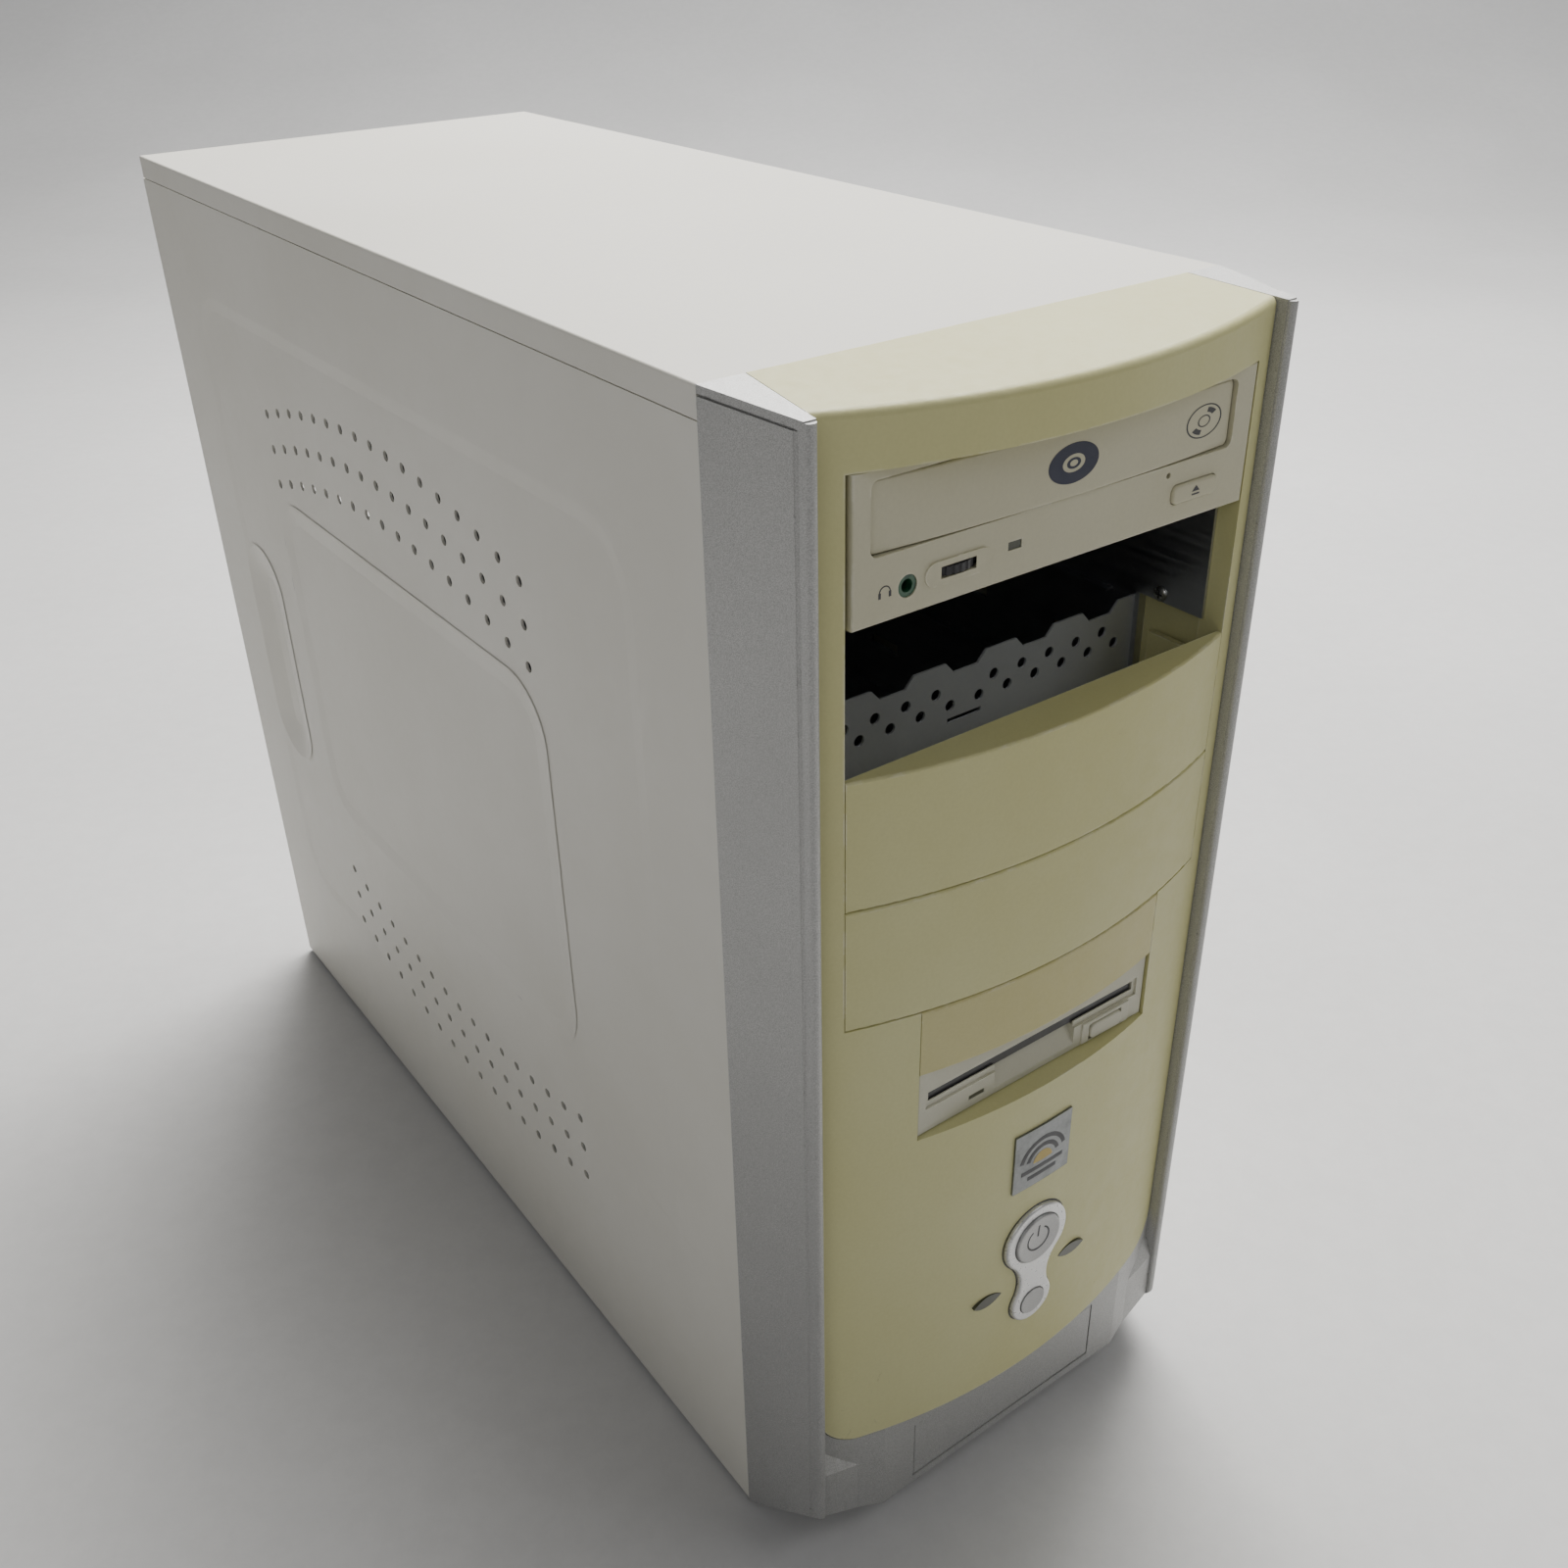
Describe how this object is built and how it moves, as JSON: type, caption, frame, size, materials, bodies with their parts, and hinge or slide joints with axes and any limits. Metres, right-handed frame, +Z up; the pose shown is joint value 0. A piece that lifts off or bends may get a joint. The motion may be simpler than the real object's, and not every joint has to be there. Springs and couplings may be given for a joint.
{
  "type": "desktop computer tower",
  "caption": "Upright personal computer case with bowed front bezel, drive bays, sliding side panels, drop-down port door and working insides",
  "frame": {"origin": "centre of the whole object's footprint, on the floor under the feet", "axes": "+Z up, +Y from the front bezel towards the rear plate, +X to the right seen from the front"},
  "size_m": [0.19, 0.4978, 0.433],
  "materials": {
    "case_paint": "fine textured off-white paint",
    "bare_steel": "galvanised sheet",
    "bright_metal": "plated",
    "foot_rubber": "matte",
    "silver_plastic": "fine grained silver-grey",
    "cream_plastic": "fine grained, slightly aged",
    "aged_plastic": "fine grained, more aged",
    "button_silver": "satin silver",
    "badge_face": "satin",
    "lens_plastic": "translucent",
    "drive_plastic": "fine grained beige",
    "floppy_plastic": "fine grained grey-beige",
    "black_plastic": "moulded",
    "selector_red": "moulded",
    "circuit_green": "lacquered laminate",
    "light_alloy": "satin"
  },
  "bodies": {
    "case": {"top_cover": "case_paint", "chassis_base": "bare_steel", "chassis_front": "bare_steel", "chassis_rear": "bare_steel", "motherboard_tray": "bare_steel", "drive_cage_upper": "bare_steel", "drive_cage_lower": "bare_steel", "bay_shields": "bare_steel", "dvd_case": "bare_steel", "floppy_case": "bare_steel", "psu_case": "bare_steel", "io_shield": "bare_steel", "slot_covers": "bare_steel", "screws_and_standoffs": "bright_metal", "fan_guards": "bright_metal", "io_ports": "bright_metal", "feet": "foot_rubber", "bezel_frame": "silver_plastic", "bezel_fascia": "cream_plastic", "bay_cover_upper": "cream_plastic", "bay_cover_lower": "cream_plastic", "bay_cover_small": "aged_plastic", "button_bezel": "button_silver", "badge": "badge_face", "indicator_lenses": "lens_plastic", "dvd_bezel": "drive_plastic", "floppy_bezel": "floppy_plastic", "port_panel": "black_plastic", "fan_frames": "black_plastic", "psu_inlet": "black_plastic", "psu_switch_housing": "black_plastic", "board_sockets": "black_plastic", "switch_board": "circuit_green", "port_board": "circuit_green", "dvd_mechanism": "circuit_green", "psu_circuit": "circuit_green", "motherboard": "circuit_green", "memory_modules": "circuit_green", "graphics_card": "circuit_green", "hard_disk_board": "circuit_green", "hard_disk": "light_alloy", "cpu_heatsink": "light_alloy"},
    "power_button": {"power_button": "button_silver"},
    "reset_button": {"reset_button": "button_silver"},
    "port_door": {"port_door": "silver_plastic"},
    "left_panel": {"left_panel": "case_paint", "left_thumbscrews": "bright_metal"},
    "right_panel": {"right_panel": "case_paint", "right_thumbscrews": "bright_metal"},
    "dvd_tray": {"dvd_tray": "black_plastic", "dvd_tray_front": "drive_plastic"},
    "dvd_eject_button": {"dvd_eject_button": "drive_plastic"},
    "dvd_volume_wheel": {"dvd_volume_wheel": "black_plastic"},
    "floppy_flap": {"floppy_flap": "black_plastic"},
    "floppy_eject_button": {"floppy_eject_button": "floppy_plastic"},
    "case_fan_rotor": {"case_fan_rotor": "black_plastic"},
    "psu_fan_rotor": {"psu_fan_rotor": "black_plastic"},
    "cpu_fan_rotor": {"cpu_fan_rotor": "black_plastic"},
    "psu_rocker": {"psu_rocker": "black_plastic"},
    "psu_voltage_selector": {"psu_voltage_selector": "selector_red"}
  },
  "joints": [
    {"name": "power_button_press", "type": "slide", "parent": "case", "child": "power_button", "axis": [0, 1, 0], "range_m": [0, 0.002], "stiffness_N_per_m": 600, "springref_m": -0.001},
    {"name": "reset_button_press", "type": "slide", "parent": "case", "child": "reset_button", "axis": [0, 1, 0], "range_m": [0, 0.0015], "stiffness_N_per_m": 500, "springref_m": -0.001},
    {"name": "port_door_swing", "type": "hinge", "parent": "case", "child": "port_door", "pos_m": [0, -0.2368, 0.0186], "axis": [1, 0, 0], "range_deg": [0, 92]},
    {"name": "left_panel_slide", "type": "slide", "parent": "case", "child": "left_panel", "axis": [0, 1, 0], "range_m": [0, 0.46]},
    {"name": "right_panel_slide", "type": "slide", "parent": "case", "child": "right_panel", "axis": [0, 1, 0], "range_m": [0, 0.46]},
    {"name": "dvd_tray_slide", "type": "slide", "parent": "case", "child": "dvd_tray", "axis": [0, -1, 0], "range_m": [0, 0.135]},
    {"name": "dvd_eject_press", "type": "slide", "parent": "case", "child": "dvd_eject_button", "axis": [0, 1, 0], "range_m": [0, 0.001], "stiffness_N_per_m": 500, "springref_m": -0.001},
    {"name": "dvd_volume_turn", "type": "hinge", "parent": "case", "child": "dvd_volume_wheel", "pos_m": [-0.0388, -0.2215, 0.382], "axis": [0, 0, 1], "range_deg": [0, 270]},
    {"name": "floppy_flap_swing", "type": "hinge", "parent": "case", "child": "floppy_flap", "pos_m": [0, -0.2373, 0.2091], "axis": [1, 0, 0], "range_deg": [0, 80], "stiffness_Nm_per_rad": 0.002, "springref_deg": -11.46},
    {"name": "floppy_eject_press", "type": "slide", "parent": "case", "child": "floppy_eject_button", "axis": [0, 1, 0], "range_m": [0, 0.003], "stiffness_N_per_m": 300, "springref_m": -0.002},
    {"name": "case_fan_spin", "type": "hinge", "parent": "case", "child": "case_fan_rotor", "pos_m": [-0.024, 0.2199, 0.28], "axis": [0, 1, 0], "continuous": true},
    {"name": "psu_fan_spin", "type": "hinge", "parent": "case", "child": "psu_fan_rotor", "pos_m": [-0.032, 0.2199, 0.383], "axis": [0, 1, 0], "continuous": true},
    {"name": "cpu_fan_spin", "type": "hinge", "parent": "case", "child": "cpu_fan_rotor", "pos_m": [0.04, 0.1449, 0.262], "axis": [1, 0, 0], "continuous": true},
    {"name": "psu_rocker_tilt", "type": "hinge", "parent": "case", "child": "psu_rocker", "pos_m": [0.048, 0.2369, 0.374], "axis": [0, 0, 1], "range_deg": [0, 14]},
    {"name": "psu_selector_slide", "type": "slide", "parent": "case", "child": "psu_voltage_selector", "axis": [1, 0, 0], "range_m": [0, 0.0086]}
  ]
}
